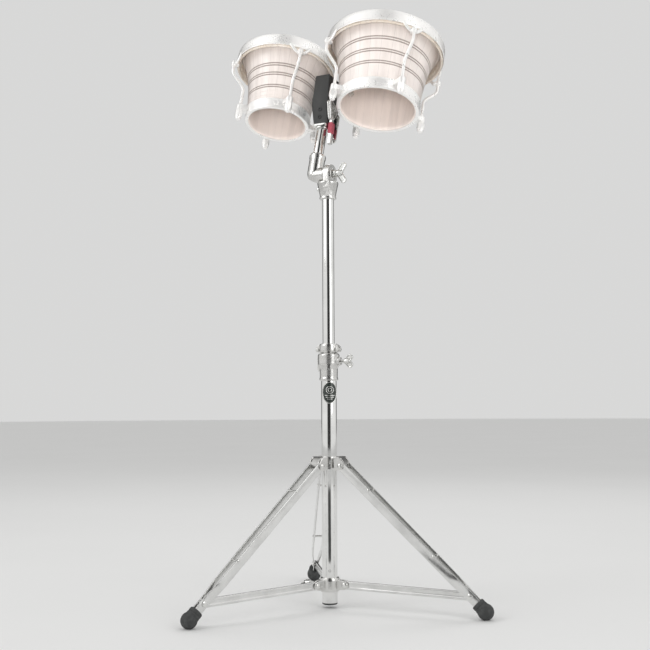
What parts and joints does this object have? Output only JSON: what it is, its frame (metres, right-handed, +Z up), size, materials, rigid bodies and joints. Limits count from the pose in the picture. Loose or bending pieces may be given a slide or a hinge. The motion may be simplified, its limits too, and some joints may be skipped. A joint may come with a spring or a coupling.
{
  "type": "bongo drums on tripod stand",
  "caption": "Pair of joined conical hand drums on a folding tripod stand with telescoping column, tilter and quick-release block.",
  "frame": {"origin": "on the floor, on the axis of the column", "axes": "+Z up, +X from the small drum to the large drum, -Y towards the audience, +Y towards the player"},
  "size_m": [0.5397, 0.533, 1.1001],
  "materials": {
    "chrome_tube": "polished chrome plate with fine drawing lines along the tube",
    "chrome_strip": "polished chrome plate on flat steel strip, light edge wear",
    "chrome_casting": "chrome plate on die castings, slightly soft edges",
    "chrome_hardware": "chrome-plated screws, pins and lever",
    "drum_chrome": "bright chrome plate, very pale",
    "black_rubber": "matt black rubber, lightly grained",
    "black_block": "matt black rubber with fine vertical ribs",
    "badge_enamel": "dark enamel oval with a bright rim",
    "nylon": "natural nylon",
    "red_grip": "dull crimson vinyl sleeve",
    "drum_shell": "pale pinkish-beige lacquered shell with turned grooves",
    "drum_skin": "natural hide, faintly mottled"
  },
  "bodies": {
    "column": {"lower_tube": "chrome_tube", "tube_end_plug": "black_rubber", "badge": "badge_enamel", "leg_collar": "chrome_casting", "height_bushing": "nylon", "height_clamp": "chrome_casting"},
    "hub": {"base_hub": "chrome_casting", "hub_pin_1": "chrome_hardware", "hub_pin_2": "chrome_hardware", "hub_pin_3": "chrome_hardware"},
    "hub_screw": {"hub_wing_screw": "chrome_hardware"},
    "height_screw": {"height_wing_bolt": "chrome_hardware"},
    "height_stop": {"memory_lock": "chrome_casting"},
    "mast": {"upper_tube": "chrome_tube", "tilter_base": "chrome_casting"},
    "tilt_screw": {"tilt_wing_bolt": "chrome_hardware"},
    "lever": {"cam_lever": "chrome_hardware", "lever_grip": "red_grip"},
    "brace_1": {"brace_1": "chrome_strip", "brace_pin_1": "chrome_hardware"},
    "leg_1": {"leg_strip_left_1": "chrome_strip", "leg_strip_right_1": "chrome_strip", "leg_spacer_1": "chrome_hardware", "rubber_foot_1": "black_rubber"},
    "brace_2": {"brace_2": "chrome_strip", "brace_pin_2": "chrome_hardware"},
    "leg_2": {"leg_strip_left_2": "chrome_strip", "leg_strip_right_2": "chrome_strip", "leg_spacer_2": "chrome_hardware", "rubber_foot_2": "black_rubber"},
    "brace_3": {"brace_3": "chrome_strip", "brace_pin_3": "chrome_hardware"},
    "leg_3": {"leg_strip_left_3": "chrome_strip", "leg_strip_right_3": "chrome_strip", "leg_spacer_3": "chrome_hardware", "rubber_foot_3": "black_rubber"},
    "drum_carrier": {"tilter_head": "chrome_casting", "mount_post": "chrome_tube", "mount_plate": "chrome_hardware", "center_block": "black_block", "jaw_plate": "chrome_hardware", "lever_pin": "chrome_hardware", "large_drum_stud": "chrome_hardware", "small_drum_stud": "chrome_hardware", "large_drum_shell": "drum_shell", "large_drum_head": "drum_skin", "large_drum_rim": "drum_chrome", "large_drum_bottom_ring": "drum_chrome", "large_tuning_rod_1": "drum_chrome", "large_tuning_rod_2": "drum_chrome", "large_tuning_rod_3": "drum_chrome", "large_tuning_rod_4": "drum_chrome", "small_drum_shell": "drum_shell", "small_drum_head": "drum_skin", "small_drum_rim": "drum_chrome", "small_drum_bottom_ring": "drum_chrome", "small_tuning_rod_1": "drum_chrome", "small_tuning_rod_2": "drum_chrome", "small_tuning_rod_3": "drum_chrome", "small_tuning_rod_4": "drum_chrome"}
  },
  "joints": [
    {"name": "hub_slide", "type": "slide", "parent": "column", "child": "hub", "axis": [0, 0, 1], "range_m": [0, 0.124]},
    {"name": "brace_fold_1", "type": "hinge", "parent": "hub", "child": "brace_1", "pos_m": [0.03096, 0.00162, 0.042], "axis": [-0.0523, 0.9986, 0], "range_deg": [-0.5, 70.8]},
    {"name": "leg_fold_1", "type": "hinge", "parent": "brace_1", "child": "leg_1", "pos_m": [0.26493, 0.01388, 0.03807], "axis": [-0.0523, 0.9986, 0], "range_deg": [-37.63, 0.5]},
    {"name": "brace_fold_2", "type": "hinge", "parent": "hub", "child": "brace_2", "pos_m": [-0.01688, 0.026, 0.042], "axis": [-0.8387, -0.5446, 0], "range_deg": [-0.5, 70.8]},
    {"name": "leg_fold_2", "type": "hinge", "parent": "brace_2", "child": "leg_2", "pos_m": [-0.14449, 0.2225, 0.03807], "axis": [-0.8387, -0.5446, 0], "range_deg": [-37.63, 0.5]},
    {"name": "brace_fold_3", "type": "hinge", "parent": "hub", "child": "brace_3", "pos_m": [-0.01407, -0.02762, 0.042], "axis": [0.891, -0.454, 0], "range_deg": [-0.5, 70.8]},
    {"name": "leg_fold_3", "type": "hinge", "parent": "brace_3", "child": "leg_3", "pos_m": [-0.12044, -0.23638, 0.03807], "axis": [0.891, -0.454, 0], "range_deg": [-37.63, 0.5]},
    {"name": "hub_screw_turn", "type": "hinge", "parent": "hub", "child": "hub_screw", "pos_m": [-0.03995, -0.00209, 0.042], "axis": [-0.9986, -0.0523, 0], "continuous": true},
    {"name": "height_screw_turn", "type": "hinge", "parent": "column", "child": "height_screw", "pos_m": [0.035, 0, 0.45], "axis": [1, 0, 0], "continuous": true},
    {"name": "height_slide", "type": "slide", "parent": "column", "child": "height_stop", "axis": [0, 0, 1], "range_m": [0, 0.1]},
    {"name": "mast_swivel", "type": "hinge", "parent": "height_stop", "child": "mast", "pos_m": [0, 0, 0.6], "axis": [0, 0, 1], "continuous": true},
    {"name": "tilt", "type": "hinge", "parent": "mast", "child": "drum_carrier", "pos_m": [0, 0, 0.804], "axis": [1, 0, 0], "range_deg": [-60, 50]},
    {"name": "tilt_screw_turn", "type": "hinge", "parent": "mast", "child": "tilt_screw", "pos_m": [0.025, 0, 0.804], "axis": [1, 0, 0], "continuous": true},
    {"name": "cam_lever_swing", "type": "hinge", "parent": "drum_carrier", "child": "lever", "pos_m": [-0.008, 0.04226, 0.94378], "axis": [1, 0, 0], "range_deg": [-95, 0]}
  ],
  "couplings": [
    {"joint": "brace_fold_1", "follows": "hub_slide", "rad_per_m": 9.8953},
    {"joint": "leg_fold_1", "follows": "hub_slide", "rad_per_m": -5.2257},
    {"joint": "brace_fold_2", "follows": "hub_slide", "rad_per_m": 9.8953},
    {"joint": "leg_fold_2", "follows": "hub_slide", "rad_per_m": -5.2257},
    {"joint": "brace_fold_3", "follows": "hub_slide", "rad_per_m": 9.8953},
    {"joint": "leg_fold_3", "follows": "hub_slide", "rad_per_m": -5.2257}
  ]
}
